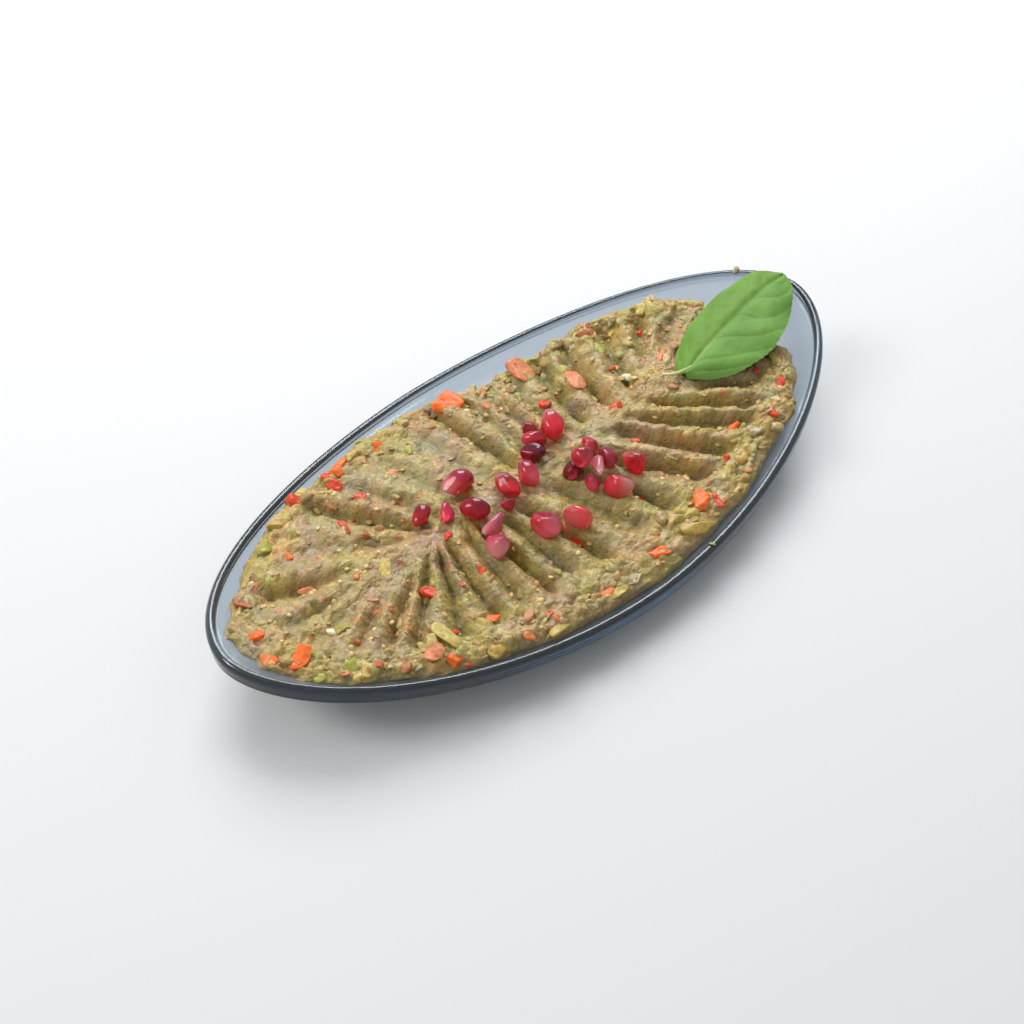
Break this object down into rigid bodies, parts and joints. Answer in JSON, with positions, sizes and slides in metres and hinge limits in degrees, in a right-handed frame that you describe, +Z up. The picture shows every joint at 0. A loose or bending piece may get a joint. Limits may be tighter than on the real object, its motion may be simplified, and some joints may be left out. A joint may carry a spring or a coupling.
{
  "type": "baba ganoush in a glass dish",
  "caption": "Smoked aubergine salad combed with a spoon in a boat-shaped smoked glass dish, topped with pomegranate arils and a mint leaf",
  "frame": {"origin": "middle of the dish's foot, on the table", "axes": "+X along the dish towards the end with the mint leaf, +Y across it, +Z up"},
  "size_m": [0.2514, 0.1234, 0.0349],
  "materials": {
    "glass": "clear smoked grey glass with a polished rim",
    "mash": "moist chopped aubergine flesh with seeds, oil and chips of pepper and onion",
    "pomegranate": "glossy translucent red",
    "mint": "fresh green, soft sheen, crinkled between the veins"
  },
  "bodies": {
    "root": {"dish": "glass", "aubergine_salad": "mash", "aril_01": "pomegranate", "aril_02": "pomegranate", "aril_03": "pomegranate", "aril_04": "pomegranate", "aril_05": "pomegranate", "aril_06": "pomegranate", "aril_07": "pomegranate", "aril_08": "pomegranate", "aril_09": "pomegranate", "aril_10": "pomegranate", "aril_11": "pomegranate", "aril_12": "pomegranate", "aril_13": "pomegranate", "aril_14": "pomegranate", "aril_15": "pomegranate", "aril_16": "pomegranate", "aril_17": "pomegranate", "aril_18": "pomegranate", "aril_19": "pomegranate", "aril_20": "pomegranate", "aril_21": "pomegranate", "aril_22": "pomegranate", "aril_23": "pomegranate", "mint_leaf": "mint"}
  },
  "joints": []
}
